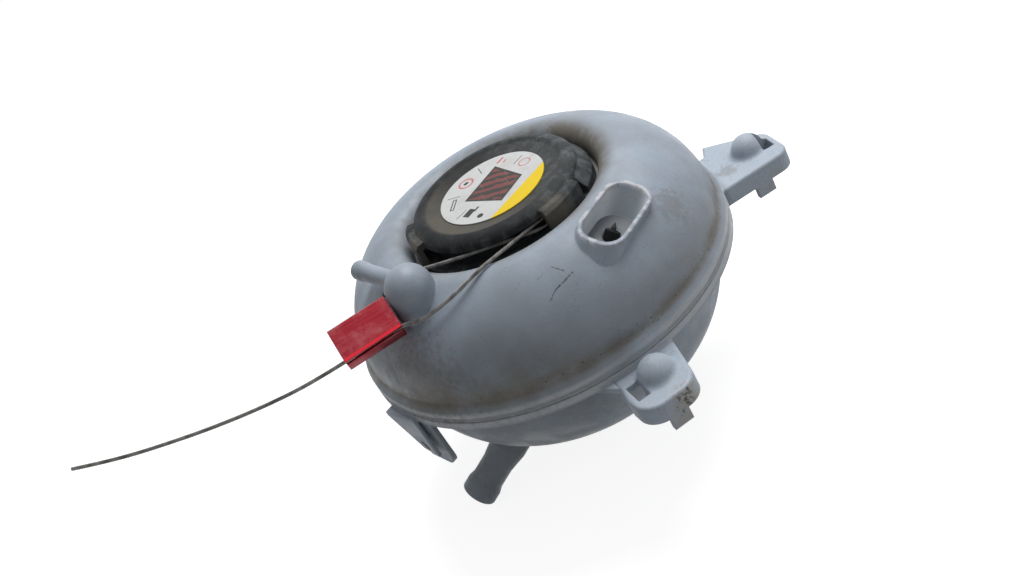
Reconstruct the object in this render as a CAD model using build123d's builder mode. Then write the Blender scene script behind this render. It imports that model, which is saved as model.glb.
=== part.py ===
from build123d import *
import os
from math import asin, cos, degrees, pi, radians, sin, tan

os.makedirs("parts", exist_ok=True)

# A coolant expansion tank: two welded plastic half shells, a screw cap with its pressure valves,
# a level sensor socket and a wire seal tied between the cap and the vent nipple.
# Z is the tank's own axis and points up. Z = 0 is the top edge of the weld flange.

# Both shells
wall = 2.6
flange_r = 78.0
weld_r = 76.4
weld_z = -3.0
collar_height = 1.8
lower_collar_height = 3.1
weld_groove = 1.2

# Upper shell: a low dome with a sunk seat around the filler neck
dome_r = 75.5
dome_foot_z = 3.4
dome_arc_r = 36.0
dome_arc_angle = 73.0
crest_arc_r = 10.0
recess_gap = 1.6
recess_z = 29.0
neck_r = 26.0
neck_bore_r = 22.5
neck_top_z = 36.0
neck_skirt_z = 18.0
neck_skirt_wall = 2.5

# Lower shell: a deeper bowl
bowl_r = 70.0
bowl_arc_r = 48.0
bowl_arc_angle = 65.0

# Vent nipple: a round-topped boss with a hose pipe that runs along the dome
boss_x = -44.2
boss_y = -32.4
boss_z = 40.7
boss_r = 9.1
vent_pipe_z = 42.2
vent_pipe_r = 3.4
vent_root_r = 4.6
vent_root_length = 12.0
vent_bead_r = 3.8
vent_bead_length = 5.0
vent_bead_ramp = 1.6
vent_tip_round = 1.4
vent_bore_r = 2.0
vent_well_r = 3.2
vent_well_roof = 0.8
vent_length = 32.6
vent_angle = 117.0

# Level sensor socket: an oval cup that leans along its own length, with two contacts in its floor
socket_x = 31.6
socket_y = -49.2
socket_z = 35.1
socket_azimuth = -52.0
socket_elevation = 66.0
socket_lean_azimuth = 14.0
socket_lean_elevation = 43.0
socket_long = 28.6
socket_wide = 15.4
socket_corner_r = 6.2
socket_wall = 1.6
socket_depth = 12.0
socket_floor = 2.6
pin_r = 0.9
pin_spacing = 10.0
pin_above = 4.6
pin_below = 20.0
pin_point = 1.6
sleeve_r = 2.8
sleeve_above = 1.6
sleeve_below = 5.0
seat_clearance = 0.05

# Mounting ears of the lower shell, each in its own frame: reach from the tank's axis, then sideways
ear_top_z = -6.0
ear_depth = 7.6
ear_root = 58.0
ear_plate = 2.2
ear_skirt = 2.2
ear_edge = 1.2
ear_socket_drop = 1.0
hump_r = 6.9
hump_flare = 2.6
ear_bore_r = 5.2
ear_bore_depth = 10.0
tongue_width = 7.6
tongue_thickness = 2.2
tongue_drop = 12.7

front_ear_angle = -81.0
front_ear_reach = 102.5
front_ear_shoulder = 76.0
front_ear_root_right = 14.8
front_ear_end_left = -12.3
front_ear_waist = 83.1
front_ear_waist_left = -11.4
front_ear_belly = 90.0
front_ear_belly_left = -12.6
front_ear_end_right = 9.6
front_ear_corner_r = 8.5
front_hump_reach = 87.7
front_hump_side = 1.7
front_window_reach = 89.7
front_window_side = -7.6
front_window_length = 9.4
front_window_width = 4.9
front_web_reach = 75.2
front_web_side = -17.0
front_tongue_side = -1.4

side_ear_angle = 4.5
side_ear_reach = 108.8
side_ear_near = -15.5
side_ear_far = 21.0
side_ear_far_reach = 86.9
side_ear_notch_reach = 83.7
side_ear_notch_side = 14.0
side_ear_tip_side = 5.0
side_ear_corner_r = 6.5
side_hump_reach = 97.8
side_hump_side = 0.0
side_window_reach = 103.8
side_window_side = -3.4
side_window_length = 5.0
side_window_width = 7.0
side_tongue_reach = 93.6

# Slotted side hook of the lower shell
hook_azimuth = -150.0
hook_inner_r = 75.4
hook_bar = 2.0
hook_slot = 1.3
hook_strip = 1.5
hook_root_r = 70.0
hook_top_z = -4.5
hook_shoulder_z = -6.5
hook_left = -16.5
hook_heel = -8.5
hook_heel_z = -28.6
hook_right = 5.8
hook_low_z = -30.6
hook_tip_r = 4.2
hook_neck = 4.8
hook_bend = -4.8
hook_bend_z = -20.9
hook_strip_end = 0.5
hook_strip_tip = 2.2
hook_strip_low_z = -23.6
hook_eye = -2.2
hook_eye_z = -18.6
hook_eye_length = 4.6
hook_eye_width = 2.0
hook_eye_turn = -51.0

# Outlet pipe under the bowl
outlet_x = -45.9
outlet_y = -23.5
outlet_z = -50.0
outlet_azimuth = -177.0
outlet_fall = 32.0
outlet_r = 6.4
outlet_root_r = 7.6
outlet_root_length = 8.0
outlet_bore_r = 4.6
outlet_bead_r = 7.2
outlet_bead_length = 5.5
outlet_bead_ramp = 3.0
outlet_tip_round = 1.5
outlet_length = 24.5
outlet_inner_length = 20.0

# Cap: a dished disc on hollow grip bridges, a lower ring and a closed skirt over half its edge
cap_foot_z = 30.0
cap_ring_r = 37.8
cap_ring_height = 2.2
cap_wall_r = 30.5
cap_thread_gap = 0.6
cap_ceiling_z = 38.0
cap_disc_r = 34.0
cap_disc_low_z = 38.6
cap_rim_r = 29.2
cap_top_z = 43.3
cap_dish_r = 27.4
cap_dish_z = 42.5
cap_edge = 1.8
bridge_wall = 2.3
bridge_arc = 30.0
bridge_first = -74.0
bridge_count = 2
bridge_pitch = 240.0
bridge_top_z = 41.4
bridge_bevel = 1.4
skirt_first = -38.0
skirt_arc = 198.0
skirt_low_z = 34.4
skirt_top_r = 33.0
skirt_top_z = 41.0
label_r = 21.6
label_seat_z = 41.6
label_thickness = 0.4
label_gap = 0.25

# Valve insert inside the neck
insert_gap = 0.8
insert_wall = 4.2
insert_foot_z = 12.0
insert_floor = 2.5
insert_flange_r = 25.4
insert_flange = 1.7
seat_gap = 0.1
valve_port_r = 9.0
ring_height = 2.4
ring_depth = 1.5
ring_squeeze_gap = 0.05
upper_ring_z = 30.5
lower_ring_z = 21.0
vent_hole_r = 1.5
vent_hole_z = 26.8
vent_hole_count = 3
piston_r = 15.5
piston_plate = 2.4
piston_seal_height = 1.7
piston_seal_inner_r = 9.6
piston_seal_r = 14.6
stem_r = 5.0
stem_bore_r = 3.9
stem_top_z = 34.0
stem_fit = 0.06
retainer_z = 31.5
retainer_thickness = 2.0
press_gap = 0.04
relief_spring_r = 11.5
relief_wire = 1.6
relief_turns = 3
vacuum_stem_r = 2.0
vacuum_head_r = 6.4
vacuum_head_height = 1.8
vacuum_seal_height = 0.8
vacuum_stem_length = 8.2
vacuum_clip_r = 3.4
vacuum_clip_height = 1.0
vacuum_spring_r = 2.9
vacuum_wire = 0.6
vacuum_turns = 3
coil_tilt_room = 0.96

# Wire seal: a flat metal block, a loop to the cap and a free tail
block_x = -64.9
block_y = -38.8
block_z = 39.8
block_turn = 5.0
block_lean = 59.0
block_length = 23.6
block_height = 14.2
block_thickness = 9.2
block_edge = 0.8
groove_width = 1.8
groove_depth = 2.1
groove_back = 2.0
wire_r = 0.75
wire_hole_gap = 0.15
channel_down = 6.0
anchor_side = 9.0
anchor_depth = 6.0
wire_grip = 4.0
wire_lead = 0.9


# Unit vector at an azimuth from X and an elevation above the XY plane
def along(azimuth, elevation=0.0):
    flat = cos(radians(elevation))
    return Vector(flat * cos(radians(azimuth)), flat * sin(radians(azimuth)), sin(radians(elevation)))


# Bend radius at each inner point: 0.45 of the shorter run over the tangent of half the turn
def corner_radii(points):
    radii = []
    for before, here, after in zip(points, points[1:], points[2:]):
        first = Vector(*here) - Vector(*before)
        second = Vector(*after) - Vector(*here)
        half_turn = radians(first.get_angle(second)) / 2
        radii.append(0.45 * min(first.length, second.length) / tan(half_turn))
    return radii


# Half section of a hose pipe: a tapered root, the straight pipe, a bead with a ramp and a rounded tip
def pipe_profile(root, root_end, root_radius, end, radius, bead_radius, bead_length, bead_ramp, tip_round):
    with BuildSketch() as profile:
        with BuildLine():
            Polyline(
                (0, end),
                (0, root),
                (root_radius, root),
                (root_radius, 0),
                (radius, root_end),
                (radius, end - bead_length - bead_ramp),
                (bead_radius, end - bead_length),
                (bead_radius, end - tip_round),
            )
            tip = JernArc((bead_radius, end - tip_round), (0, 1), tip_round, 90)
            Line(tip @ 1, (0, end))
        make_face()
    return profile.sketch


# Plane through a pipe's axis: its Y runs along the pipe
def pipe_section(pipe_plane):
    return Plane(
        origin=pipe_plane.origin,
        x_dir=pipe_plane.x_dir,
        z_dir=pipe_plane.x_dir.cross(pipe_plane.z_dir),
    )


# One mounting ear: a plate with a deep rim, a domed socket, a window and a guide tongue
def ear(angle, outline_points, corner_r, hump, window, window_size, tongue, tongue_size):
    frame = Plane(origin=(0, 0, ear_top_z), x_dir=along(angle), z_dir=(0, 0, 1))
    hump_plane = Plane(origin=frame.from_local_coords((*hump, 0)), x_dir=frame.x_dir, z_dir=-frame.y_dir)
    flare_tilt = degrees(asin(hump_flare / (hump_r + hump_flare)))
    flare_reach = (hump_r + hump_flare) * cos(radians(flare_tilt))
    socket_foot = ear_depth + ear_socket_drop
    with BuildPart(frame) as built:
        with BuildSketch(frame) as outline:
            with BuildLine():
                Polyline(*outline_points, close=True)
            make_face()
            fillet(outline.vertices().group_by(Axis.X)[-1], radius=corner_r)
        extrude(amount=-ear_depth)
        fillet(built.faces().sort_by(Axis.Z)[-1].edges(), radius=ear_edge)
        with BuildSketch(frame.offset(-ear_depth)):
            add(outline.sketch_local)
            offset(amount=-ear_skirt, mode=Mode.REPLACE)
        extrude(amount=ear_depth - ear_plate, mode=Mode.SUBTRACT)
        with Locations((*hump, 0)):
            Cylinder(hump_r, socket_foot, align=(Align.CENTER, Align.CENTER, Align.MAX))
        with BuildSketch(hump_plane):
            with BuildLine():
                Polyline((0, hump_r), (0, 0), (flare_reach, 0))
                CenterArc((flare_reach, hump_flare), hump_flare, -90, flare_tilt - 90)
                CenterArc((0, 0), hump_r, flare_tilt, 90 - flare_tilt)
            make_face()
        revolve(axis=Axis(hump_plane.origin, frame.z_dir))
        with BuildSketch(frame.offset(hump_r)):
            with Locations(window):
                Rectangle(*window_size)
        extrude(amount=-hump_r - ear_depth, mode=Mode.SUBTRACT)
        with Locations((*hump, -socket_foot)):
            Cylinder(ear_bore_r, ear_bore_depth, align=(Align.CENTER, Align.CENTER, Align.MIN),
                     mode=Mode.SUBTRACT)
        with BuildSketch(frame.offset(-ear_plate)):
            with Locations(tongue):
                Rectangle(*tongue_size)
        extrude(amount=ear_plate - tongue_drop)
    return built.part


# Upper shell
crest_r = dome_r - dome_arc_r + (dome_arc_r - crest_arc_r) * cos(radians(dome_arc_angle))
crest_z = dome_foot_z + crest_arc_r + (dome_arc_r - crest_arc_r) * sin(radians(dome_arc_angle))
recess_r = cap_ring_r + recess_gap
recess_arc_r = crest_r - recess_r
inner_recess_r = recess_r + wall
inner_dome_r = dome_r - wall
vent_plane = Plane(origin=(boss_x, boss_y, vent_pipe_z), z_dir=along(vent_angle))
socket_plane = Plane(
    origin=(socket_x, socket_y, socket_z),
    x_dir=along(socket_azimuth + 90),
    z_dir=along(socket_azimuth, socket_elevation),
)
socket_axis = along(socket_lean_azimuth, socket_lean_elevation)
contact_planes = [
    Plane(
        origin=socket_plane.from_local_coords((side * pin_spacing / 2, 0, 0)) - socket_axis * socket_depth,
        z_dir=socket_axis,
    )
    for side in (-1, 1)
]

with BuildPart() as upper_shell:
    with BuildSketch(Plane.XZ):
        with BuildLine():
            Polyline(
                (0, weld_z),
                (weld_r, weld_z),
                (weld_r, -collar_height),
                (flange_r, -collar_height),
                (flange_r, 0),
                (dome_r, dome_foot_z),
            )
            dome_arc = JernArc((dome_r, dome_foot_z), (0, 1), dome_arc_r, dome_arc_angle)
            crest_arc = JernArc(dome_arc @ 1, dome_arc % 1, crest_arc_r, 90 - dome_arc_angle)
            recess_arc = JernArc(crest_arc @ 1, crest_arc % 1, recess_arc_r, 90)
            Line(recess_arc @ 1, (recess_r, recess_z))
            Polyline(
                (recess_r, recess_z),
                (neck_r, recess_z),
                (neck_r, neck_top_z),
                (0, neck_top_z),
                (0, weld_z),
            )
        make_face()
    revolve(axis=Axis.Z)
    # boss and hose pipe of the vent
    with Locations((boss_x, boss_y, boss_z)):
        Cylinder(boss_r, boss_z - recess_z, align=(Align.CENTER, Align.CENTER, Align.MAX))
        Sphere(boss_r)
    with BuildSketch(pipe_section(vent_plane)):
        add(pipe_profile(-vent_bore_r, vent_root_length, vent_root_r, vent_length, vent_pipe_r,
                         vent_bead_r, vent_bead_length, vent_bead_ramp, vent_tip_round))
    revolve(axis=Axis(vent_plane.origin, vent_plane.z_dir))
    # the hollow inside
    with BuildSketch(Plane.XZ):
        with BuildLine():
            Polyline(
                (0, weld_z),
                (inner_dome_r, weld_z),
                (inner_dome_r, dome_foot_z),
            )
            inner_dome_arc = JernArc((inner_dome_r, dome_foot_z), (0, 1), dome_arc_r - wall, dome_arc_angle)
            inner_crest_arc = JernArc(
                inner_dome_arc @ 1, inner_dome_arc % 1, crest_arc_r - wall, 90 - dome_arc_angle
            )
            inner_recess_arc = JernArc(inner_crest_arc @ 1, inner_crest_arc % 1, recess_arc_r - wall, 90)
            Polyline(
                inner_recess_arc @ 1,
                (inner_recess_r, recess_z - wall),
                (0, recess_z - wall),
                (0, weld_z),
            )
        make_face()
    revolve(axis=Axis.Z, mode=Mode.SUBTRACT)
    # neck skirt below the seat, and the cup of the sensor socket
    with BuildSketch(Plane.XY.offset(neck_skirt_z)):
        Circle(neck_bore_r + neck_skirt_wall)
    extrude(amount=recess_z - neck_skirt_z)
    with BuildSketch(Plane.XY.offset(neck_skirt_z)):
        Circle(neck_bore_r)
    extrude(amount=neck_top_z - neck_skirt_z, mode=Mode.SUBTRACT)
    with BuildSketch(socket_plane):
        RectangleRounded(
            socket_long + 2 * socket_wall,
            socket_wide + 2 * socket_wall,
            socket_corner_r + socket_wall,
        )
    extrude(amount=socket_depth + socket_floor, dir=-socket_axis)
    with BuildSketch(socket_plane):
        RectangleRounded(socket_long, socket_wide, socket_corner_r)
    extrude(amount=socket_depth, dir=-socket_axis, mode=Mode.SUBTRACT)
    for contact in contact_planes:
        with BuildSketch(contact.offset(-sleeve_below)):
            Circle(sleeve_r + seat_clearance)
        extrude(amount=2 * sleeve_below, mode=Mode.SUBTRACT)
    # vent passage
    with BuildSketch(vent_plane):
        Circle(vent_bore_r)
    extrude(amount=vent_length, mode=Mode.SUBTRACT)
    with Locations((boss_x, boss_y, vent_pipe_z + vent_bore_r + vent_well_roof)):
        Cylinder(vent_well_r, vent_pipe_z - dome_foot_z, align=(Align.CENTER, Align.CENTER, Align.MAX),
                 mode=Mode.SUBTRACT)
upper_shell.part.label = "upper_shell"
export_step(upper_shell.part, "parts/upper_shell.step")

# Contacts of the level sensor
for number, contact in enumerate(contact_planes, start=1):
    with BuildPart() as contact_pin:
        with BuildSketch(contact.offset(-sleeve_below - pin_below)):
            Circle(pin_r)
        extrude(amount=pin_below + sleeve_below + pin_above - pin_point)
        with BuildSketch(contact.offset(pin_above - pin_point)):
            Circle(pin_r)
        with BuildSketch(contact.offset(pin_above)):
            Circle(pin_r / 4)
        loft()
    contact_pin.part.label = f"contact_pin_{number}"
    export_step(contact_pin.part, f"parts/contact_pin_{number}.step")
    with BuildPart() as contact_sleeve:
        with BuildSketch(contact.offset(-sleeve_below)):
            Circle(sleeve_r)
            Circle(pin_r + seat_clearance, mode=Mode.SUBTRACT)
        extrude(amount=sleeve_below + sleeve_above)
    contact_sleeve.part.label = f"contact_sleeve_{number}"
    export_step(contact_sleeve.part, f"parts/contact_sleeve_{number}.step")

# Mounting ears
front_ear = ear(
    angle=front_ear_angle,
    outline_points=[
        (ear_root, front_ear_root_right),
        (front_ear_shoulder, front_ear_root_right),
        (front_ear_reach, front_ear_end_right),
        (front_ear_reach, front_ear_end_left),
        (front_ear_belly, front_ear_belly_left),
        (front_ear_waist, front_ear_waist_left),
        (ear_root, front_ear_waist_left),
    ],
    corner_r=front_ear_corner_r,
    hump=(front_hump_reach, front_hump_side),
    window=(front_window_reach, front_window_side),
    window_size=(front_window_length, front_window_width),
    tongue=(front_ear_reach - tongue_thickness / 2, front_tongue_side),
    tongue_size=(tongue_thickness, tongue_width),
)
side_ear = ear(
    angle=side_ear_angle,
    outline_points=[
        (ear_root, side_ear_near),
        (side_ear_reach, side_ear_near),
        (side_ear_reach, side_ear_tip_side),
        (side_ear_far_reach, side_ear_far),
        (side_ear_notch_reach, side_ear_notch_side),
        (ear_root, side_ear_notch_side),
    ],
    corner_r=side_ear_corner_r,
    hump=(side_hump_reach, side_hump_side),
    window=(side_window_reach, side_window_side),
    window_size=(side_window_length, side_window_width),
    tongue=(side_tongue_reach, side_ear_near + tongue_thickness / 2),
    tongue_size=(tongue_width, tongue_thickness),
)

# Lower shell
collar_top_z = weld_z - weld_groove
collar_foot_z = collar_top_z - lower_collar_height
inner_bowl_r = bowl_r - wall
bowl_floor_r = bowl_arc_r + (bowl_r - bowl_arc_r) / cos(radians(bowl_arc_angle))
outlet_plane = Plane(origin=(outlet_x, outlet_y, outlet_z), z_dir=along(outlet_azimuth, -outlet_fall))
hook_plane = Plane(origin=(0, 0, 0), x_dir=along(hook_azimuth + 90), z_dir=along(hook_azimuth))
hook_strip_r = hook_inner_r + hook_bar + hook_slot

with BuildPart() as lower_shell:
    with BuildSketch(Plane.XZ):
        with BuildLine():
            Polyline(
                (0, weld_z),
                (weld_r, weld_z),
                (weld_r, collar_top_z),
                (flange_r, collar_top_z),
                (flange_r, collar_foot_z),
                (bowl_r, collar_foot_z),
            )
            bowl_arc = JernArc((bowl_r, collar_foot_z), (0, -1), bowl_arc_r, -bowl_arc_angle)
            floor_arc = JernArc(bowl_arc @ 1, bowl_arc % 1, bowl_floor_r, bowl_arc_angle - 90)
            Line(floor_arc @ 1, (0, weld_z))
        make_face()
    revolve(axis=Axis.Z)
    add(front_ear)
    add(side_ear)
    # thin web between the collar and the front ear's waist
    with BuildSketch(Plane(origin=(0, 0, ear_top_z), x_dir=along(front_ear_angle), z_dir=(0, 0, 1))):
        with BuildLine():
            Polyline(
                (ear_root, front_ear_waist_left),
                (ear_root, front_web_side),
                (front_web_reach, front_web_side),
                (front_ear_waist, front_ear_waist_left),
                close=True,
            )
        make_face()
    extrude(amount=-ear_plate)
    # side hook: an inner bar with a round tip, a slot and a shorter outer strip with an eye
    with BuildSketch(hook_plane.offset(hook_inner_r)) as hook_outline:
        with BuildLine():
            Polyline(
                (hook_left, hook_top_z),
                (hook_left, hook_shoulder_z),
                (hook_heel, hook_heel_z),
                (hook_right, hook_low_z),
                (hook_neck, hook_top_z),
                close=True,
            )
        make_face()
        fillet(hook_outline.vertices().sort_by(Axis.X)[-1], radius=hook_tip_r)
    extrude(amount=hook_bar)
    with BuildSketch(hook_plane.offset(hook_root_r)):
        with BuildLine():
            Polyline(
                (hook_left, hook_top_z),
                (hook_left, hook_shoulder_z),
                (hook_strip_end, hook_shoulder_z),
                (hook_strip_end, hook_top_z),
                close=True,
            )
        make_face()
    extrude(amount=hook_strip_r - hook_root_r)
    with BuildSketch(hook_plane.offset(hook_strip_r)):
        with BuildLine():
            Polyline(
                (hook_left, hook_top_z),
                (hook_left, hook_shoulder_z),
                (hook_bend, hook_bend_z),
                (hook_strip_tip, hook_strip_low_z),
                (hook_strip_end, hook_top_z),
                close=True,
            )
        make_face()
        with Locations((hook_eye, hook_eye_z)):
            SlotOverall(hook_eye_length, hook_eye_width, rotation=hook_eye_turn, mode=Mode.SUBTRACT)
    extrude(amount=hook_strip)
    # outlet pipe
    with BuildSketch(pipe_section(outlet_plane)):
        add(pipe_profile(-outlet_inner_length, outlet_root_length, outlet_root_r, outlet_length, outlet_r,
                         outlet_bead_r, outlet_bead_length, outlet_bead_ramp, outlet_tip_round))
    revolve(axis=Axis(outlet_plane.origin, outlet_plane.z_dir))
    # the hollow inside
    with BuildSketch(Plane.XZ):
        with BuildLine():
            Polyline(
                (0, weld_z),
                (inner_bowl_r, weld_z),
                (inner_bowl_r, collar_foot_z),
            )
            inner_bowl_arc = JernArc((inner_bowl_r, collar_foot_z), (0, -1), bowl_arc_r - wall, -bowl_arc_angle)
            inner_floor_arc = JernArc(
                inner_bowl_arc @ 1, inner_bowl_arc % 1, bowl_floor_r - wall, bowl_arc_angle - 90
            )
            Line(inner_floor_arc @ 1, (0, weld_z))
        make_face()
    revolve(axis=Axis.Z, mode=Mode.SUBTRACT)
    with BuildSketch(outlet_plane.offset(-outlet_inner_length)):
        Circle(outlet_bore_r)
    extrude(amount=outlet_inner_length + outlet_length, mode=Mode.SUBTRACT)
lower_shell.part.label = "lower_shell"
export_step(lower_shell.part, "parts/lower_shell.step")

# Cap
cap_ring_top_z = cap_foot_z + cap_ring_height
cap_thread_r = neck_r + cap_thread_gap
cap_shoulder = cap_top_z - cap_disc_low_z - cap_edge
bridge_inner_r = cap_ring_r - bridge_wall
bridge_root_r = cap_disc_r - bridge_wall

with BuildPart() as cap_cover:
    with BuildSketch(Plane.XZ):
        with BuildLine():
            Polyline(
                (0, label_seat_z),
                (label_r + label_gap, label_seat_z),
                (cap_dish_r, cap_dish_z),
                (cap_rim_r, cap_top_z),
            )
            Bezier(
                (cap_rim_r, cap_top_z),
                ((cap_rim_r + cap_disc_r) / 2, cap_top_z),
                (cap_disc_r, cap_top_z - cap_shoulder / 2),
                (cap_disc_r, cap_top_z - cap_shoulder),
            )
            Polyline(
                (cap_disc_r, cap_top_z - cap_shoulder),
                (cap_disc_r, cap_disc_low_z),
                (cap_wall_r, cap_disc_low_z),
                (cap_wall_r, cap_ring_top_z),
                (cap_ring_r, cap_ring_top_z),
                (cap_ring_r, cap_foot_z),
                (cap_thread_r, cap_foot_z),
                (cap_thread_r, cap_ceiling_z),
                (0, cap_ceiling_z),
                (0, label_seat_z),
            )
        make_face()
    revolve(axis=Axis.Z)
    # hollow grip bridges, open at both ends
    for number in range(bridge_count):
        start = bridge_first + number * bridge_pitch
        with BuildSketch(Plane.XZ.rotated((0, 0, start))):
            with BuildLine():
                Polyline(
                    (bridge_root_r, cap_disc_low_z),
                    (bridge_inner_r, cap_disc_low_z),
                    (bridge_inner_r, cap_ring_top_z),
                    (cap_ring_r, cap_ring_top_z),
                    (cap_ring_r, bridge_top_z - bridge_bevel),
                    (cap_ring_r - bridge_bevel, bridge_top_z),
                    (bridge_root_r, bridge_top_z),
                    close=True,
                )
            make_face()
        revolve(axis=Axis.Z, revolution_arc=bridge_arc)
    # closed skirt from the disc's edge down to the ring
    with BuildSketch(Plane.XZ.rotated((0, 0, skirt_first))):
        with BuildLine():
            Polyline(
                (bridge_inner_r, cap_ring_top_z),
                (cap_ring_r, cap_ring_top_z),
                (cap_ring_r, skirt_low_z),
                (skirt_top_r, skirt_top_z),
                (bridge_root_r, skirt_top_z),
                (bridge_root_r, cap_disc_low_z),
                close=True,
            )
        make_face()
    revolve(axis=Axis.Z, revolution_arc=skirt_arc)
cap_cover.part.label = "cap_cover"
export_step(cap_cover.part, "parts/cap_cover.step")

with BuildPart() as cap_label:
    with BuildSketch(Plane.XY.offset(label_seat_z)):
        Circle(label_r)
    extrude(amount=label_thickness)
cap_label.part.label = "cap_label"
export_step(cap_label.part, "parts/cap_label.step")

# Valve insert
insert_r = neck_bore_r - insert_gap
insert_bore_r = insert_r - insert_wall
groove_r = insert_r - ring_depth
insert_floor_z = insert_foot_z + insert_floor
insert_flange_z = neck_top_z + seat_gap

with BuildPart() as valve_housing:
    with BuildSketch(Plane.XZ):
        with BuildLine():
            Polyline(
                (valve_port_r, insert_foot_z),
                (insert_r, insert_foot_z),
                (insert_r, lower_ring_z - ring_height / 2),
                (groove_r, lower_ring_z - ring_height / 2),
                (groove_r, lower_ring_z + ring_height / 2),
                (insert_r, lower_ring_z + ring_height / 2),
                (insert_r, upper_ring_z - ring_height / 2),
                (groove_r, upper_ring_z - ring_height / 2),
                (groove_r, upper_ring_z + ring_height / 2),
                (insert_r, upper_ring_z + ring_height / 2),
                (insert_r, insert_flange_z),
                (insert_flange_r, insert_flange_z),
                (insert_flange_r, insert_flange_z + insert_flange),
                (insert_bore_r, insert_flange_z + insert_flange),
                (insert_bore_r, insert_floor_z),
                (valve_port_r, insert_floor_z),
                close=True,
            )
        make_face()
    revolve(axis=Axis.Z)
    for number in range(vent_hole_count):
        with BuildSketch(Plane(origin=(0, 0, vent_hole_z), z_dir=along(number * 360 / vent_hole_count))):
            Circle(vent_hole_r)
        extrude(amount=flange_r, mode=Mode.SUBTRACT)
valve_housing.part.label = "valve_housing"
export_step(valve_housing.part, "parts/valve_housing.step")

for name, middle_z in (("upper_sealing_ring", upper_ring_z), ("lower_sealing_ring", lower_ring_z)):
    with BuildPart() as sealing_ring:
        with BuildSketch(Plane.XY.offset(middle_z - ring_height / 2 + ring_squeeze_gap)):
            Circle(neck_bore_r - ring_squeeze_gap)
            Circle(groove_r + ring_squeeze_gap, mode=Mode.SUBTRACT)
        extrude(amount=ring_height - 2 * ring_squeeze_gap)
    sealing_ring.part.label = name
    export_step(sealing_ring.part, f"parts/{name}.step")

piston_low_z = insert_floor_z + piston_seal_height
piston_top_z = piston_low_z + piston_plate
guide_r = vacuum_stem_r + stem_fit

with BuildPart() as relief_piston:
    with BuildSketch(Plane.XZ):
        with BuildLine():
            Polyline(
                (guide_r, piston_low_z),
                (piston_r, piston_low_z),
                (piston_r, piston_top_z),
                (stem_r, piston_top_z),
                (stem_r, stem_top_z),
                (stem_bore_r, stem_top_z),
                (stem_bore_r, piston_top_z),
                (guide_r, piston_top_z),
                close=True,
            )
        make_face()
    revolve(axis=Axis.Z)
relief_piston.part.label = "relief_piston"
export_step(relief_piston.part, "parts/relief_piston.step")

with BuildPart() as piston_seal:
    with BuildSketch(Plane.XY.offset(insert_floor_z)):
        Circle(piston_seal_r)
        Circle(piston_seal_inner_r, mode=Mode.SUBTRACT)
    extrude(amount=piston_seal_height)
piston_seal.part.label = "piston_seal"
export_step(piston_seal.part, "parts/piston_seal.step")

with BuildPart() as spring_retainer:
    with BuildSketch(Plane.XY.offset(retainer_z)):
        Circle(insert_bore_r - press_gap)
        Circle(stem_r + stem_fit, mode=Mode.SUBTRACT)
    extrude(amount=retainer_thickness)
spring_retainer.part.label = "spring_retainer"
export_step(spring_retainer.part, "parts/spring_retainer.step")

relief_height = retainer_z - piston_top_z - relief_wire
with BuildPart() as relief_spring:
    with BuildLine() as relief_coil:
        Helix(
            pitch=relief_height / relief_turns,
            height=relief_height,
            radius=relief_spring_r,
            center=(0, 0, piston_top_z + relief_wire / 2),
        )
    with BuildSketch(Plane(origin=relief_coil.line @ 0, x_dir=(1, 0, 0), z_dir=relief_coil.line % 0)):
        Rectangle(relief_wire, relief_wire * coil_tilt_room)
    sweep(path=relief_coil.line, is_frenet=True)
relief_spring.part.label = "relief_spring"
export_step(relief_spring.part, "parts/relief_spring.step")

vacuum_head_z = piston_low_z - vacuum_seal_height
vacuum_top_z = piston_top_z + vacuum_stem_length
vacuum_clip_z = vacuum_top_z - vacuum_clip_height

with BuildPart() as vacuum_valve:
    with BuildSketch(Plane.XZ):
        with BuildLine():
            Polyline(
                (0, vacuum_head_z - vacuum_head_height),
                (vacuum_head_r, vacuum_head_z - vacuum_head_height),
                (vacuum_head_r, vacuum_head_z),
                (vacuum_stem_r, vacuum_head_z),
                (vacuum_stem_r, vacuum_top_z),
                (0, vacuum_top_z),
                close=True,
            )
        make_face()
    revolve(axis=Axis.Z)
vacuum_valve.part.label = "vacuum_valve"
export_step(vacuum_valve.part, "parts/vacuum_valve.step")

with BuildPart() as vacuum_seal:
    with BuildSketch(Plane.XY.offset(vacuum_head_z)):
        Circle(vacuum_head_r)
        Circle(guide_r, mode=Mode.SUBTRACT)
    extrude(amount=vacuum_seal_height)
vacuum_seal.part.label = "vacuum_seal"
export_step(vacuum_seal.part, "parts/vacuum_seal.step")

with BuildPart() as vacuum_clip:
    with BuildSketch(Plane.XY.offset(vacuum_clip_z)):
        Circle(vacuum_clip_r)
        Circle(vacuum_stem_r + press_gap, mode=Mode.SUBTRACT)
    extrude(amount=vacuum_clip_height)
vacuum_clip.part.label = "vacuum_clip"
export_step(vacuum_clip.part, "parts/vacuum_clip.step")

vacuum_height = vacuum_clip_z - piston_top_z - vacuum_wire
with BuildPart() as vacuum_spring:
    with BuildLine() as vacuum_coil:
        Helix(
            pitch=vacuum_height / vacuum_turns,
            height=vacuum_height,
            radius=vacuum_spring_r,
            center=(0, 0, piston_top_z + vacuum_wire / 2),
        )
    with BuildSketch(Plane(origin=vacuum_coil.line @ 0, x_dir=(1, 0, 0), z_dir=vacuum_coil.line % 0)):
        Rectangle(vacuum_wire, vacuum_wire * coil_tilt_room)
    sweep(path=vacuum_coil.line, is_frenet=True)
vacuum_spring.part.label = "vacuum_spring"
export_step(vacuum_spring.part, "parts/vacuum_spring.step")

# Seal block
block_plane = Plane(
    origin=(block_x, block_y, block_z),
    x_dir=(1, 0, 0),
    z_dir=along(-90, block_lean),
).rotated((0, 0, block_turn))
half_block = block_length / 2
half_height = block_height / 2
channel_back = groove_back + groove_width / 2
anchor_back = block_thickness / 2

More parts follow.
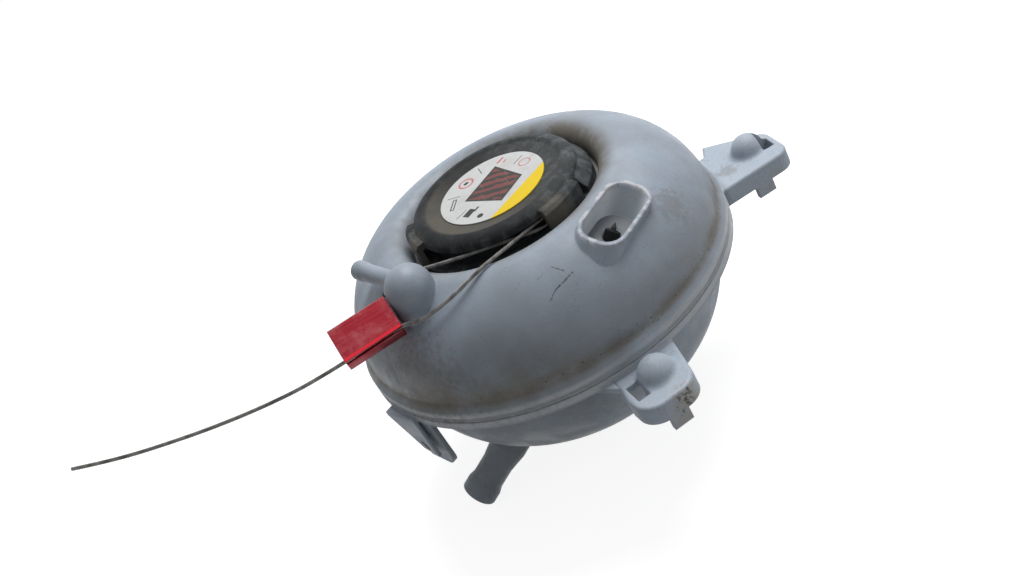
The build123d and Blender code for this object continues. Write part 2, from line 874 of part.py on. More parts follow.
with BuildPart() as seal_block:
    with BuildSketch(block_plane.offset(-block_thickness)):
        Rectangle(block_length, block_height)
    extrude(amount=block_thickness)
    chamfer(seal_block.edges().filter_by(Axis(block_plane.origin, block_plane.x_dir)), length=block_edge)
    with BuildSketch(block_plane.offset(-groove_back - groove_width)):
        with Locations((0, (groove_depth - block_height) / 2)):
            Rectangle(block_length, groove_depth)
    extrude(amount=groove_width, mode=Mode.SUBTRACT)
    anchor_plane = Plane(
        origin=block_plane.from_local_coords((anchor_side, half_height, -anchor_back)),
        x_dir=block_plane.x_dir,
        z_dir=-block_plane.y_dir,
    )
    with BuildSketch(anchor_plane):
        Circle(wire_r + wire_hole_gap)
    extrude(amount=anchor_depth, mode=Mode.SUBTRACT)
seal_block.part.label = "seal_block"
export_step(seal_block.part, "parts/seal_block.step")


# Point of the seal block's frame: along its length, up its face, in front of its face
def on_block(along_length, up, front):
    spot = block_plane.from_local_coords((along_length, up, front))
    return (spot.X, spot.Y, spot.Z)


# Seal wire: from its anchor under the vent pipe, round the cap's neck below the disc and back to the block
loop_points = [
    on_block(anchor_side, half_height - wire_grip, -anchor_back),
    on_block(anchor_side, half_height + 2 * wire_lead, -anchor_back),
    (-53.0, -21.4, 37.3),
    (-49.3, -19.6, 37.6),
    (-44.6, -19.6, 39.9),
    (-28.8, -24.9, 37.8),
    (-5.0, -31.7, 36.6),
    (6.5, -32.2, 34.2),
    (12.2, -30.4, 34.2),
    (12.2, -30.4, 37.4),
    (6.0, -32.3, 37.4),
    (-4.0, -36.2, 37.6),
    (-19.4, -45.0, 40.2),
    (-33.0, -48.6, 37.8),
    (-45.6, -45.2, 34.0),
    on_block(half_block + wire_lead, -channel_down, -channel_back),
    on_block(half_block - wire_grip, -channel_down, -channel_back),
]
tail_points = [
    on_block(wire_grip - half_block, -channel_down, -channel_back),
    on_block(-4 * wire_lead - half_block, -channel_down, -channel_back),
    (-99.9, -39.3, 31.5),
    (-127.0, -35.7, 33.0),
    (-154.0, -29.1, 35.0),
    (-171.9, -23.9, 37.0),
    (-185.0, -19.2, 39.0),
]
for name, points in (("seal_loop", loop_points), ("seal_tail", tail_points)):
    radii = corner_radii(points)
    print(name, "bend radii", [round(value, 1) for value in radii])
    with BuildPart() as seal_wire:
        with BuildLine() as route:
            FilletPolyline(*points, radius=radii)
        with BuildSketch(Plane(origin=route.line @ 0, z_dir=route.line % 0)):
            Circle(wire_r)
        sweep(path=route.line)
    seal_wire.part.label = name
    export_step(seal_wire.part, f"parts/{name}.step")
    wire_length = route.wire().length
    print(name, "length", round(wire_length, 1), "volume", round(seal_wire.part.volume, 1),
          "section times length", round(wire_length * pi * wire_r**2, 1))
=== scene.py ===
import bpy
import numpy as np
from mathutils import Matrix, Vector


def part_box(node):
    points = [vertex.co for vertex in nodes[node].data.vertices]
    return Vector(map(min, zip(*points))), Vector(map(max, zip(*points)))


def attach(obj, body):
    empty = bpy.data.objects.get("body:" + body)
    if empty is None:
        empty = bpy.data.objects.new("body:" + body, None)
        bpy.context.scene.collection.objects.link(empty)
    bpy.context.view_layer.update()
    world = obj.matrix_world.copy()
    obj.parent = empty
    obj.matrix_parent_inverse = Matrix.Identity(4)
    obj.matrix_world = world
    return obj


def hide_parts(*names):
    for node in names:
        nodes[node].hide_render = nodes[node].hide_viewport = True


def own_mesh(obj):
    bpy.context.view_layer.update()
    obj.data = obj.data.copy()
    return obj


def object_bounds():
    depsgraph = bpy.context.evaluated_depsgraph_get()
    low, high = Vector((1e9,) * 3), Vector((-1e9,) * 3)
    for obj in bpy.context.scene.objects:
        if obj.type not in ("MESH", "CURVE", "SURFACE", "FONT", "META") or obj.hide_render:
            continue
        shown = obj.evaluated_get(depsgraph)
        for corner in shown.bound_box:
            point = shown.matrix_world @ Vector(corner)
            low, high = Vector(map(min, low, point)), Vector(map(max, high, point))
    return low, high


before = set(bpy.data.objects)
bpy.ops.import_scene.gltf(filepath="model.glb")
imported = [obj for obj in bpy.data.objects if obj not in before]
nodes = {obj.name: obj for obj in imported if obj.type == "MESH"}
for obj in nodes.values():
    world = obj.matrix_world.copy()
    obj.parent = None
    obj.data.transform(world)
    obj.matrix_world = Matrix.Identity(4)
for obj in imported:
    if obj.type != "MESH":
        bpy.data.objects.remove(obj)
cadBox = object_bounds()
scene = bpy.context.scene
scene.view_settings.view_transform = "Standard"
print("frame loaded with", len(nodes), "nodes")

# camera: a short distance in front of the tank and above it, rolled so that the tank leans to the left
cameraView = {
    "place": (-0.0126, -0.4243, 0.2638),
    "right": (0.8634, -0.2674, -0.4279),
    "up": (0.5045, 0.4575, 0.7322),
    "lens": 44.47,  # millimetres, like the width of the sensor
    "sensor": 36.0,
}


# camera turned by its own right, up and back directions, back being right times up
def addCamera(view):
    right = Vector(view["right"]).normalized()
    back = right.cross(Vector(view["up"])).normalized()
    up = back.cross(right)
    data = bpy.data.cameras.new("camera")
    data.lens = view["lens"]
    data.sensor_width = view["sensor"]
    camera = bpy.data.objects.new("camera", data)
    camera.matrix_world = Matrix.Translation(view["place"]) @ Matrix((right, up, back)).transposed().to_4x4()
    scene.collection.objects.link(camera)
    scene.camera = camera


addCamera(cameraView)
print("camera placed")


# mesh from a grid of points, rows by columns: each four neighbours make a face, the columns close into a
# ring, the rows close too or end in flat caps; faces are turned outwards by the sign of the enclosed volume
def gridPiece(name, points, closeRows):
    rows, columns = points.shape[:2]
    index = np.arange(rows * columns).reshape(rows, columns)
    ring = np.concatenate([index, index[:, :1]], axis=1)
    if closeRows:
        ring = np.concatenate([ring, ring[:1]], axis=0)
    quads = np.stack([ring[:-1, :-1], ring[:-1, 1:], ring[1:, 1:], ring[1:, :-1]], axis=-1).reshape(-1, 4)
    flat = points.reshape(-1, 3)
    corner = flat[quads] - flat.mean(axis=0)
    volume = np.einsum("ij,ij->", corner[:, 0], np.cross(corner[:, 1], corner[:, 2]))
    faces = quads.tolist()
    if not closeRows:
        faces += [index[0, ::-1].tolist(), index[-1].tolist()]
    if volume < 0:
        faces = [face[::-1] for face in faces]
    mesh = bpy.data.meshes.new(name)
    mesh.from_pydata(flat.tolist(), [], faces)
    mesh.shade_smooth()
    piece = bpy.data.objects.new(name, mesh)
    scene.collection.objects.link(piece)
    return piece


# seal wire: six strands laid round a core, the loop through the cap and the free tail
sealWire = {
    "radius": 0.00075,
    "strands": 6,
    "lay": 0.0060,  # one turn of a strand
    "step": 0.00035,
    "aroundStrand": 6,
    "aside": (0.3, -0.954, 0.0),  # a direction that the wire never takes
    "lineSteps": 24,  # from one point of a route to the next
    "loop": [
        (-0.05637, -0.03301, 0.03745),
        (-0.05681, -0.02806, 0.04044),
        (-0.0530, -0.0214, 0.0373),
        (-0.0493, -0.0196, 0.0376),
        (-0.0446, -0.0196, 0.0399),
        (-0.0288, -0.0249, 0.0378),
        (-0.0050, -0.0317, 0.0366),
        (0.0065, -0.0322, 0.0342),
        (0.0122, -0.0304, 0.0342),
        (0.0122, -0.0304, 0.0374),
        (0.0060, -0.0323, 0.0374),
        (-0.0040, -0.0362, 0.0376),
        (-0.0194, -0.0450, 0.0402),
        (-0.0330, -0.0486, 0.0378),
        (-0.0456, -0.0452, 0.0340),
        (-0.05193, -0.04133, 0.03422),
        (-0.05681, -0.04176, 0.03422),
    ],
    "loopLength": 0.158,
    "tail": [
        (-0.07235, -0.04312, 0.03422),
        (-0.07992, -0.04378, 0.03422),
        (-0.0999, -0.0393, 0.0315),
        (-0.1270, -0.0357, 0.0330),
        (-0.1540, -0.0291, 0.0350),
        (-0.1719, -0.0239, 0.0370),
        (-0.1850, -0.0192, 0.0390),
    ],
    "tailLength": 0.116,
}


# points of the smooth line that a route's points control
def routeLine(name, route, rope):
    curve = bpy.data.curves.new(name, "CURVE")
    curve.dimensions = "3D"
    curve.resolution_u = rope["lineSteps"]
    spline = curve.splines.new("NURBS")
    spline.points.add(len(route) - 1)
    spline.points.foreach_set("co", np.c_[np.array(route), np.ones(len(route))].ravel())
    spline.order_u = 3
    spline.use_endpoint_u = True
    holder = bpy.data.objects.new(name, curve)
    scene.collection.objects.link(holder)
    mesh = bpy.data.meshes.new_from_object(holder)
    points = np.empty(len(mesh.vertices) * 3)
    mesh.vertices.foreach_get("co", points)
    bpy.data.objects.remove(holder)
    bpy.data.meshes.remove(mesh)
    bpy.data.curves.remove(curve)
    return points.reshape(-1, 3)


# rope surface: at each even step along the line, the outline of strands that touch each other, turned by
# the share of the lay covered so far; a strand's outline is rc cos a + sqrt(rs^2 - (rc sin a)^2)
def ropePiece(name, route, rope):
    line = routeLine(name, route, rope)
    gaps = np.linalg.norm(np.diff(line, axis=0), axis=1)
    covered = np.concatenate([[0.0], np.cumsum(gaps)])
    marks = np.linspace(0.0, covered[-1], int(covered[-1] / rope["step"]))
    path = np.column_stack([np.interp(marks, covered, line[:, axis]) for axis in range(3)])
    ahead = np.gradient(path, axis=0)
    ahead /= np.linalg.norm(ahead, axis=1, keepdims=True)
    side = np.cross(ahead, rope["aside"])
    side /= np.linalg.norm(side, axis=1, keepdims=True)
    over = np.cross(side, ahead)
    strandR = rope["radius"] / 3
    coreR = 2 * strandR
    count = rope["strands"] * rope["aroundStrand"]
    share = np.arange(count) / rope["aroundStrand"]
    lean = (share % 1 - 0.5) * 2 * np.pi / rope["strands"]
    reach = coreR * np.cos(lean) + np.sqrt(np.maximum(strandR**2 - (coreR * np.sin(lean)) ** 2, 0.0))
    turn = share[None, :] / rope["strands"] * 2 * np.pi + marks[:, None] / rope["lay"] * 2 * np.pi
    points = path[:, None, :] + reach[None, :, None] * (
        np.cos(turn)[..., None] * side[:, None, :] + np.sin(turn)[..., None] * over[:, None, :]
    )
    return gridPiece(name, points, closeRows=False), path


loopRope, loopPath = ropePiece("sealLoop", sealWire["loop"], sealWire)
tailRope, tailPath = ropePiece("sealTail", sealWire["tail"], sealWire)
for rope, node in ((loopRope, "seal_loop"), (tailRope, "seal_tail")):
    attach(rope, "tank")
    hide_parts(node)
print("seal wire laid,", len(loopPath) + len(tailPath), "steps")

# weld flash: what the hot weld pressed out between the two flanges, as two uneven rolls side by side
weldFlash = {
    "innerR": 0.0761,
    "seatR": 0.07645,
    "top": -0.00185,
    "foot": -0.00415,
    "roll": 0.00135,
    "plump": 0.7,
    "uneven": 0.08,
    "waves": [(23, 0.4, 2.0), (61, 2.1, 5.0), (137, 4.4, 9.0)],  # count, phase and twist of each sine
    "around": 900,
    "across": 24,
}


# ring of a closed section: on the outer side two rolls, |sin| of the height to a power, a plain wall inside,
# and the rolls' depth wanders round the ring as a sum of sines
def weldRing(flash):
    around = np.linspace(0, 2 * np.pi, flash["around"], endpoint=False)
    share = np.linspace(0, 1, flash["across"])
    wander = sum(
        np.sin(around[:, None] * count + phase + share[None, :] * twist) / (1 + order)
        for order, (count, phase, twist) in enumerate(flash["waves"])
    )
    roll = flash["roll"] * np.abs(np.sin(2 * np.pi * share)) ** flash["plump"]
    outer = flash["seatR"] + roll[None, :] * (1 + flash["uneven"] * wander)
    inner = np.full((flash["around"], 2), flash["innerR"])
    radius = np.concatenate([outer, inner], axis=1)
    height = flash["top"] + (flash["foot"] - flash["top"]) * np.concatenate([share, [1.0, 0.0]])
    points = np.stack(
        [
            radius * np.cos(around)[:, None],
            radius * np.sin(around)[:, None],
            np.broadcast_to(height, radius.shape),
        ],
        axis=-1,
    )
    return gridPiece("weldFlash", points, closeRows=True)


flashRing = weldRing(weldFlash)
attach(flashRing, "tank")
print("weld flash laid")

# valve springs: round wire in the places of the two coils
valveSprings = [
    {
        "name": "reliefSpring",
        "node": "relief_spring",
        "body": "tank",
        "joint": "relief_lift",
        "wire": 0.0016,
        "turns": 3,
        "travel": 0.003,
        "heldAt": "top",
    },
    {
        "name": "vacuumSpring",
        "node": "vacuum_spring",
        "body": "relief_valve",
        "joint": "vacuum_drop",
        "wire": 0.0006,
        "turns": 3,
        "travel": 0.0015,
        "heldAt": "foot",
    },
]
coilMesh = {"wireShare": 0.95, "stepsPerTurn": 48, "aroundWire": 12}  # a little thinner than the solid wire


# coil of round wire: a circle carried along R cos a, R sin a and a height that rises evenly from seat to
# seat, held square to that helix
def springPiece(spring, mesh):
    low, high = (np.array(corner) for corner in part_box(spring["node"]))
    wireR = spring["wire"] / 2 * mesh["wireShare"]
    coilR = high[0] - spring["wire"] / 2
    steps = mesh["stepsPerTurn"] * spring["turns"]
    angle = np.linspace(0, 2 * np.pi * spring["turns"], steps)[:, None]
    rise = (high[2] - low[2] - spring["wire"]) / angle[-1]
    out = np.concatenate([np.cos(angle), np.sin(angle), np.zeros_like(angle)], axis=1)
    ahead = np.concatenate([-coilR * np.sin(angle), coilR * np.cos(angle), np.full_like(angle, rise)], axis=1)
    ahead /= np.linalg.norm(ahead, axis=1, keepdims=True)
    over = np.cross(ahead, out)
    path = coilR * out
    path[:, 2] = low[2] + spring["wire"] / 2 + rise * angle[:, 0]
    turn = np.linspace(0, 2 * np.pi, mesh["aroundWire"], endpoint=False)[None, :, None]
    points = path[:, None, :] + wireR * (np.cos(turn) * out[:, None, :] + np.sin(turn) * over[:, None, :])
    piece = gridPiece(spring["name"], points, closeRows=False)
    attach(piece, spring["body"])
    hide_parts(spring["node"])
    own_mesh(piece)
    return piece


springPieces = [springPiece(spring, coilMesh) for spring in valveSprings]
print("valve springs wound:", len(springPieces))


# inputs of a shader node, each set to a value or joined to another socket
def joinInputs(tree, node, inputs):
    for key, value in inputs.items():
        if isinstance(value, bpy.types.NodeSocket):
            tree.links.new(value, node.inputs[key])
        else:
            node.inputs[key].default_value = value


# one shader node with its settings and inputs
def addNode(tree, kind, inputs=None, **settings):
    made = tree.nodes.new(kind)
    for key, value in settings.items():
        setattr(made, key, value)
    joinInputs(tree, made, inputs or {})
    return made


# one operation on plain values
def calc(tree, operation, *values, clamp=False):
    inputs = dict(enumerate(values))
    return addNode(tree, "ShaderNodeMath", inputs, operation=operation, use_clamp=clamp).outputs[0]


# one operation on vectors
def vectorCalc(tree, operation, *values, out="Vector"):
    return addNode(tree, "ShaderNodeVectorMath", dict(enumerate(values)), operation=operation).outputs[out]


# reach of one vector along another
def dot(tree, first, second):
    return vectorCalc(tree, "DOT_PRODUCT", first, second, out="Value")


# several masks or shares multiplied
def product(tree, first, *others):
    for other in others:
        first = calc(tree, "MULTIPLY", first, other)
    return first


# a value times a slope, plus what is there at least
def scaled(tree, value, slope, least):
    return calc(tree, "MULTIPLY_ADD", value, slope, least)


# smooth step of a value from 0 at one end of a span to 1 at the other, either way round
def ease(tree, value, start, end):
    inputs = {"Value": value, "From Min": start, "From Max": end}
    return addNode(tree, "ShaderNodeMapRange", inputs, interpolation_type="SMOOTHSTEP").outputs["Result"]


# where several values are all past their spans: the product of their smooth steps
def overlap(tree, *pairs):
    return product(tree, *(ease(tree, value, *span) for value, span in pairs))


# cloudy noise from 0 to 1
def noise(tree, at, scale, detail=3.0, roughness=0.55):
    inputs = {"Vector": at, "Scale": scale, "Detail": detail, "Roughness": roughness}
    return addNode(tree, "ShaderNodeTexNoise", inputs).outputs[0]


# first colour where the share is 0, second where it is 1
def blend(tree, share, first, second):
    pair = [
        colour if isinstance(colour, bpy.types.NodeSocket) else (*colour, 1.0) for colour in (first, second)
    ]
    return addNode(tree, "ShaderNodeMix", {0: share, 6: pair[0], 7: pair[1]}, data_type="RGBA").outputs[2]


# place in the object's own coordinates
def place(tree):
    return addNode(tree, "ShaderNodeTexCoord").outputs["Object"]


# X, Z and the distance from the tank's axis
def reaches(tree, here):
    split = addNode(tree, "ShaderNodeSeparateXYZ", {0: here}).outputs
    flat = vectorCalc(tree, "MULTIPLY", here, (1.0, 1.0, 0.0))
    return split["X"], split["Z"], vectorCalc(tree, "LENGTH", flat, out="Value")


# normal of the mesh's own face, without smoothing or bump
def faceNormal(tree):
    return addNode(tree, "ShaderNodeNewGeometry").outputs["True Normal"]


# empty node group: its inputs by name and kind, its outputs all plain values
def newGroup(name, inputs, outputs):
    group = bpy.data.node_groups.new(name, "ShaderNodeTree")
    for label, kind in inputs.items():
        group.interface.new_socket(label, in_out="INPUT", socket_type="NodeSocket" + kind)
    for label in outputs:
        group.interface.new_socket(label, in_out="OUTPUT", socket_type="NodeSocketFloat")
    return group, group.nodes.new("NodeGroupInput").outputs, group.nodes.new("NodeGroupOutput").inputs


# grime: a blotchy film that covers more as Cover rises, and fine dark specks in clusters
grimeLook = {
    "filmEdge": (0.14, 0.16),  # below and above the share left bare
    "specksToPatch": 16.0,
    "speckSpan": (0.24, 0.12),
    "clustersToPatch": 2.4,
    "clusterSpan": (0.52, 0.66),
}


def makeGrime(look):
    group, given, result = newGroup(
        "grime", {"Place": "Vector", "Size": "Float", "Cover": "Float"}, ["Film", "Specks"]
    )
    here, size = given["Place"], given["Size"]
    patch = noise(group, here, size, detail=6.0, roughness=0.62)
    bare = calc(group, "SUBTRACT", 1.0, given["Cover"])
    under, over = look["filmEdge"]
    film = ease(group, patch, calc(group, "SUBTRACT", bare, under), calc(group, "ADD", bare, over))
    fine = product(group, size, look["specksToPatch"])
    cells = addNode(group, "ShaderNodeTexVoronoi", {"Vector": here, "Scale": fine})
    clusters = noise(group, here, product(group, size, look["clustersToPatch"]), detail=4.0)
    specks = overlap(group, (cells.outputs["Distance"], look["speckSpan"]), (clusters, look["clusterSpan"]))
    group.links.new(film, result["Film"])
    group.links.new(specks, result["Specks"])
    return group


# spot: 1 near a centre and 0 outside a radius, its edge shifted by noise
spotLook = {"edgeSize": 420.0, "core": 0.35}


def makeSpot(look):
    group, given, result = newGroup(
        "spot", {"Place": "Vector", "Centre": "Vector", "Radius": "Float", "Ragged": "Float"}, ["Mask"]
    )
    away = vectorCalc(group, "DISTANCE", given["Place"], given["Centre"], out="Value")
    rough = noise(group, given["Place"], look["edgeSize"], detail=5.0, roughness=0.65)
    shift = product(group, calc(group, "SUBTRACT", rough, 0.5), given["Ragged"], given["Radius"])
    core = product(group, given["Radius"], look["core"])
    mask = ease(group, calc(group, "ADD", away, shift), given["Radius"], core)
    group.links.new(mask, result["Mask"])
    return group


# hair mark: a thin wavering line between two points, by the distance to the nearest point between them,
# broken into dots where noise along it is low
hairLook = {
    "swaySize": 300.0,
    "sway": 0.0016,
    "core": 0.3,
    "dotSize": 1100.0,
    "dotSpan": (0.40, 0.52),
}


def makeHairMark(look):
    group, given, result = newGroup(
        "hairMark", {"Place": "Vector", "Start": "Vector", "End": "Vector", "Width": "Float"}, ["Mask"]
    )
    here = given["Place"]
    sway = addNode(group, "ShaderNodeTexNoise", {"Vector": here, "Scale": look["swaySize"]}).outputs[1]
    centred = vectorCalc(group, "SUBTRACT", sway, (0.5, 0.5, 0.5))
    moved = vectorCalc(group, "MULTIPLY_ADD", centred, (look["sway"],) * 3, here)
    along = vectorCalc(group, "SUBTRACT", moved, given["Start"])
    whole = vectorCalc(group, "SUBTRACT", given["End"], given["Start"])
    share = calc(group, "DIVIDE", dot(group, along, whole), dot(group, whole, whole), clamp=True)
    scale = {0: whole, "Scale": share}
    nearest = addNode(group, "ShaderNodeVectorMath", scale, operation="SCALE").outputs[0]
    away = vectorCalc(group, "DISTANCE", along, nearest, out="Value")
    line = ease(group, away, given["Width"], product(group, given["Width"], look["core"]))
    dots = ease(group, noise(group, here, look["dotSize"], detail=2.0), *look["dotSpan"])
    group.links.new(product(group, line, dots), result["Mask"])
    return group


# print shape: a rectangle with round corners, a disc where its half size is nothing, by the length of what
# reaches past the half size
shapeLook = {"edgeSpan": (0.00008, -0.00008)}


def makePrintShape(look):
    inputs = {"Place": "Vector", "Centre": "Vector", "Turn": "Float", "Half": "Vector", "Corner": "Float"}
    group, given, result = newGroup("printShape", inputs, ["Mask"])
    away = vectorCalc(group, "SUBTRACT", given["Place"], given["Centre"])
    flat = vectorCalc(group, "MULTIPLY", away, (1.0, 1.0, 0.0))
    turn = {"Vector": flat, "Angle": product(group, given["Turn"], -1.0)}
    turned = addNode(group, "ShaderNodeVectorRotate", turn, rotation_type="Z_AXIS").outputs[0]
    past = vectorCalc(group, "SUBTRACT", vectorCalc(group, "ABSOLUTE", turned), given["Half"])
    over = vectorCalc(group, "MAXIMUM", past, (0.0, 0.0, 0.0))
    depth = calc(group, "SUBTRACT", vectorCalc(group, "LENGTH", over, out="Value"), given["Corner"])
    group.links.new(ease(group, depth, *look["edgeSpan"]), result["Mask"])
    return group


# moulded grain: a coarse and a finer noise added up, for a bump
grainLook = {"finer": 3.1, "fineShare": 0.4}


def makeGrain(look):
    group, given, result = newGroup("grain", {"Place": "Vector", "Size": "Float"}, ["Height"])
    coarse = noise(group, given["Place"], given["Size"], detail=2.0)
    fine = noise(group, given["Place"], product(group, given["Size"], look["finer"]), detail=2.0)
    group.links.new(scaled(group, fine, look["fineShare"], coarse), result["Height"])
    return group


groups = {
    "grime": makeGrime(grimeLook),
    "spot": makeSpot(spotLook),
    "hairMark": makeHairMark(hairLook),
    "printShape": makePrintShape(shapeLook),
    "grain": makeGrain(grainLook),
}
print("shader groups built:", ", ".join(groups))


# one output of a shared group, with these inputs
def fromGroup(tree, name, inputs, out):
    made = tree.nodes.new("ShaderNodeGroup")
    made.node_tree = groups[name]
    joinInputs(tree, made, inputs)
    return made.outputs[out]


# film of grime by its size and cover
def grimeFilm(tree, here, size, cover):
    return fromGroup(tree, "grime", {"Place": here, "Size": size, "Cover": cover}, "Film")


# height of the moulded grain
def moulded(tree, here, size):
    return fromGroup(tree, "grain", {"Place": here, "Size": size}, "Height")


# material with a Principled shader, constants on its own sockets
def newMaterial(name, settings):
    material = bpy.data.materials.new(name)
    material.use_nodes = True
    tree = material.node_tree
    shader = tree.nodes["Principled BSDF"].inputs
    for key, value in settings.items():
        shader[key].default_value = value
    return material, tree, shader


# edge mask: 1 where the normal of an edge rounded over a radius leans away from the face's own normal
def roundedEdgeMask(tree, edge, span):
    rounded = addNode(tree, "ShaderNodeBevel", {"Radius": edge}, samples=8).outputs[0]
    own = addNode(tree, "ShaderNodeNewGeometry").outputs["Normal"]
    return ease(tree, dot(tree, rounded, own), *span)


# grain on top of the normal of an edge rounded over a radius
def bump(tree, height, distance, strength, edge):
    rounded = addNode(tree, "ShaderNodeBevel", {"Radius": edge}, samples=6).outputs[0]
    inputs = {"Height": height, "Distance": distance, "Strength": strength, "Normal": rounded}
    return addNode(tree, "ShaderNodeBump", inputs).outputs["Normal"]


# colour, height and, where a mask spreads it, roughness joined to a material's shader
def joinShader(tree, shader, look, colour, height, spread=None):
    tree.links.new(colour, shader["Base Color"])
    if spread is not None:
        tree.links.new(scaled(tree, spread, *look["roughness"]), shader["Roughness"])
    tree.links.new(bump(tree, height, *look["bump"]), shader["Normal"])


# spots: ragged spots of one colour each, stains and, on the tank, painted shade, some of them broken up by
# fine noise
stainSpeckle = {"size": 700.0, "span": (0.48, 0.56)}


def addSpots(tree, look, here, colour):
    for centre, size, paint, share, speckled in look["spots"]:
        inputs = {"Place": here, "Centre": centre, "Radius": size, "Ragged": look["ragged"]}
        mask = product(tree, fromGroup(tree, "spot", inputs, "Mask"), share)
        if speckled:
            fine = noise(tree, here, stainSpeckle["size"], detail=4.0)
            mask = product(tree, mask, ease(tree, fine, *stainSpeckle["span"]))
        colour = blend(tree, mask, colour, look[paint])
    return colour


# aged polypropylene: cloudy bluish grey with a brown film along the weld and round the cap, painted light and
# shade in places;
# a span gives the values at which a mask begins and is full, a pair of shares its spread and its least
tankPlastic = {
    "pale": (0.318, 0.373, 0.448),
    "dull": (0.24, 0.275, 0.318),
    "thick": (0.42, 0.485, 0.565),
    "film": (0.135, 0.12, 0.095),
    "speck": (0.035, 0.033, 0.03),
    "chalk": (0.60, 0.63, 0.66),
    "tan": (0.38, 0.36, 0.31),
    "soot": (0.045, 0.04, 0.03),
    "shader": {"Subsurface Weight": 0.15, "Subsurface Scale": 0.003, "Specular IOR Level": 0.4},
    "roughness": (0.22, 0.38),  # spread and least
    "grain": 900.0,
    "bump": (0.0002, 0.25, 0.0013),  # depth, strength and rounding of edges
    "cloudSize": 32.0,
    "cloudSpan": (0.3, 0.7),
    "earSpan": (0.0785, 0.0815),  # distance from the axis
    "earShare": 0.85,
    "mottleSize": 950.0,
    "mottleSpan": (0.42, 0.62),
    "mottleShare": 0.22,
    # weld zone: partly its whitish flash, partly painted light against the shade of its groove
    "weldInner": (0.0758, 0.0766),
    "weldOuter": (0.0792, 0.0783),
    "weldTop": (0.0008, -0.0004),
    "weldFoot": (-0.0075, -0.0060),
    "weldPaleAndLightShare": 0.62,
    "filmSize": 95.0,
    "filmCover": 0.56,
    "filmShare": (0.65, 0.35),
    "creaseTop": (0.0090, 0.0038),
    "creaseFoot": (0.0014, 0.0032),
    "creaseShare": 0.75,
    "seatReach": (0.0500, 0.0415),
    "seatRise": (0.0240, 0.0300),
    "seatRight": (-0.030, 0.030),
    "seatShare": (0.6, 0.35),
    # darker low on the dome, more on the left
    "lowDarkSize": 40.0,
    "lowDarkCover": 0.58,
    "lowDarkTop": (0.0300, 0.0020),
    "lowDarkFoot": (-0.0015, 0.0030),
    "leftward": (-0.8, -0.6, 0.0),
    "lowDarkLeft": (0.030, 0.070),
    "lowDarkShare": (0.54, 0.33),
    "ragged": 2.2,
    "spots": [  # centre, radius, colour, share, speckled or even
        ((0.0195, -0.1000, -0.0120), 0.0085, "tan", 0.75, False),
        ((0.0192, -0.1005, -0.0095), 0.0048, "soot", 0.95, True),
        ((0.0158, -0.1013, -0.0137), 0.0024, "soot", 0.8, True),
        ((0.0138, -0.1016, -0.0175), 0.0060, "tan", 0.4, False),
        ((0.0998, -0.0066, -0.0165), 0.0070, "tan", 0.5, False),
        ((0.0640, 0.0100, 0.0250), 0.0045, "film", 0.35, False),
        ((0.0850, 0.0020, -0.0060), 0.0055, "film", 0.4, False),
        ((0.0520, -0.0480, 0.0260), 0.0100, "film", 0.35, False),
        ((-0.0578, -0.0469, 0.0121), 0.0230, "film", 0.42, False),
        ((-0.0590, -0.0440, 0.0130), 0.0200, "speck", 0.16, True),
        # painted shade round the outlet, under the tank
        ((-0.0556, -0.0279, -0.0503), 0.0300, "film", 0.28, False),
        # painted shade on the bowl under the front of the flange
        ((-0.0300, -0.0610, -0.0260), 0.0360, "film", 0.26, False),
    ],
    # painted light on the socket's inner walls, painted shade on its floor
    "socketPaintedLight": (0.68, 0.73, 0.77),
    "socketPaintedShade": (0.15, 0.165, 0.18),
    "socketCentre": (0.0316, -0.0492, 0.0270),
    "socketReach": (0.0170, 0.0150),
    "socketMouth": (0.0, -0.0008),  # height from the rim
    "socketFacing": (0.0, -0.002),  # lean of a face towards the middle
    "socketShadeSpan": (0.5, 0.9),  # how far a face looks out of the socket
    "socketLightSpan": (0.8, 0.3),
    "rimCentre": (0.0316, -0.0492, 0.0351),
    "rimNormal": (0.2504, -0.3205, 0.9135),
    "rimUnder": (-0.0013, -0.0002),
    "rimOver": (0.0012, 0.0003),
    "rimReach": (0.022, 0.0195),
    "rimWearSize": 300.0,
    "rimWearSpan": (0.42, 0.60),
    "rimShare": 0.65,
    "speckSize": 60.0,
    "speckShare": 0.6,
    "gatheredSize": 800.0,
    "gatheredSpan": (0.60, 0.68),
    "gatheredShare": 0.7,
    # pale edges of the flanges: partly rubbed wear, partly painted highlight
    "edgeRoundRadius": 0.0007,  # radius of the rounded edge
    "wearAndHighlightSpan": (0.985, 0.90),
    "wearAndHighlightReach": (0.0740, 0.0765),
    "wearAndHighlightShare": 0.45,
    "hairWidth": 0.00045,
    "hairs": [  # start, end, share
        ((0.0027, -0.0581, 0.0342), (0.0058, -0.0608, 0.0322), 0.8),
        ((0.0080, -0.0624, 0.0307), (0.0019, -0.0640, 0.0297), 0.9),
        ((0.0019, -0.0640, 0.0297), (-0.0008, -0.0645, 0.0293), 0.9),
        ((-0.0008, -0.0645, 0.0293), (-0.0031, -0.0659, 0.0278), 0.8),
        ((-0.0003, -0.0585, 0.0340), (-0.0045, -0.0595, 0.0332), 0.4),
    ],
}


